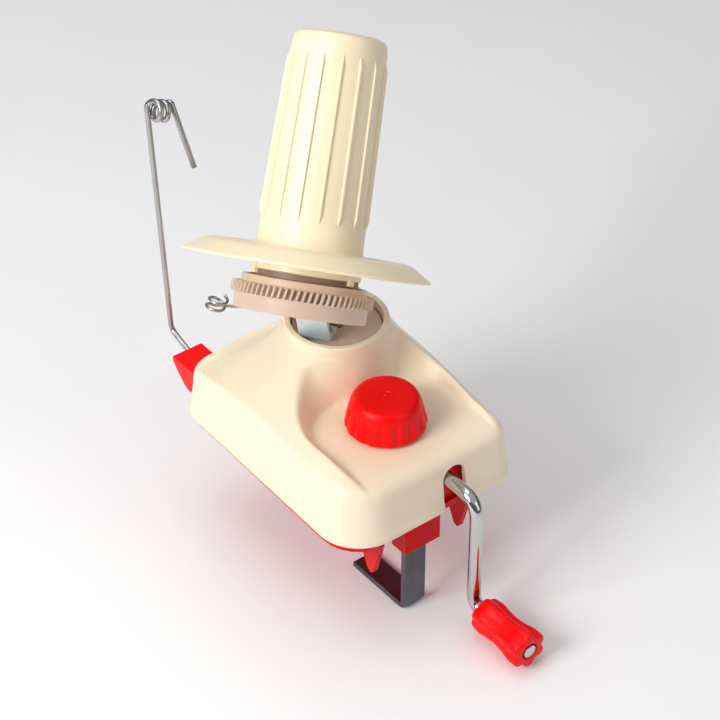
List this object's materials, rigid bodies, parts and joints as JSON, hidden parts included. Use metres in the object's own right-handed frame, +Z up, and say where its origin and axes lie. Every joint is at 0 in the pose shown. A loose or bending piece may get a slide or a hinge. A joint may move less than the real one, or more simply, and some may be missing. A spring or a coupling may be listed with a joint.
{
  "type": "yarn ball winder",
  "caption": "Table-clamped hand-cranked yarn ball winder: gearbox housing, bent crank with grip, tilted toothed drum carrying a flanged winding cone, wire guide arm and screw clamp.",
  "frame": {"origin": "where the rotor's upright axis meets the base underside, which rests on the table", "axes": "+Z up along the rotor axis, -Y to the front with the crank and the table edge, +X to the right"},
  "size_m": [0.1034, 0.2026, 0.2323],
  "materials": {
    "cream": "satin gloss",
    "beige": "satin",
    "red": "glossy",
    "dark_red": "glossy",
    "gear_white": "satin",
    "chrome": "polished",
    "zinc": "bright zinc plate",
    "steel": "satin"
  },
  "bodies": {
    "housing": {"housing_cover": "cream", "base_plate": "dark_red", "cover_screw_1": "steel", "cover_screw_2": "steel", "cover_screw_3": "steel", "cover_screw_4": "steel", "centre_post": "steel", "fixed_bevel_pinion": "gear_white", "arm_block": "red", "tension_coil": "steel"},
    "crank": {"crank_rod": "chrome", "crank_face_gear": "gear_white", "gear_pin": "steel", "crank_retaining_ring": "steel"},
    "grip": {"grip": "red"},
    "rotor": {"rotor_turntable": "beige", "rotor_pinion": "gear_white", "spindle_bracket": "zinc", "bracket_rivet_1": "steel", "bracket_rivet_2": "steel", "tilt_axle": "steel", "axle_clip": "steel"},
    "drum": {"toothed_drum": "beige"},
    "cone": {"winding_cone": "cream"},
    "knob": {"clamp_knob": "red", "thrust_washer": "steel", "clamp_screw": "steel"},
    "clamp": {"clamp_bracket": "zinc", "clamp_nut": "steel"},
    "arm": {"guide_arm": "steel"}
  },
  "joints": [
    {"name": "crank_turn", "type": "hinge", "parent": "housing", "child": "crank", "pos_m": [0, -0.045, 0.0183], "axis": [0, 1, 0], "continuous": true},
    {"name": "grip_spin", "type": "hinge", "parent": "crank", "child": "grip", "pos_m": [0, -0.115, -0.0382], "axis": [0, 1, 0], "continuous": true},
    {"name": "rotor_turn", "type": "hinge", "parent": "housing", "child": "rotor", "pos_m": [0, 0, 0.05], "axis": [0, 0, 1], "continuous": true},
    {"name": "drum_turn", "type": "hinge", "parent": "rotor", "child": "drum", "pos_m": [-0.02815, -0.01432, 0.0902], "axis": [0.4694, 0.3537, 0.809], "continuous": true},
    {"name": "cone_lift", "type": "slide", "parent": "drum", "child": "cone", "axis": [0.4694, 0.3537, 0.809], "range_m": [0, 0.012]},
    {"name": "knob_turn", "type": "hinge", "parent": "housing", "child": "knob", "pos_m": [-0.0078, -0.043, 0.035], "axis": [0, 0, 1], "range_deg": [-2160, 0]},
    {"name": "clamp_slide", "type": "slide", "parent": "housing", "child": "clamp", "axis": [0, 0, 1], "range_m": [0, 0.0121]},
    {"name": "arm_swing", "type": "hinge", "parent": "housing", "child": "arm", "pos_m": [-0.0375, 0.055, 0.0212], "axis": [0, 1, 0], "range_deg": [-90, 0]}
  ],
  "couplings": [
    {"joint": "rotor_turn", "follows": "crank_turn", "ratio": 2.5},
    {"joint": "drum_turn", "follows": "crank_turn", "ratio": 0.76389},
    {"joint": "clamp_slide", "follows": "knob_turn", "m_per_rad": -0.00031831}
  ]
}
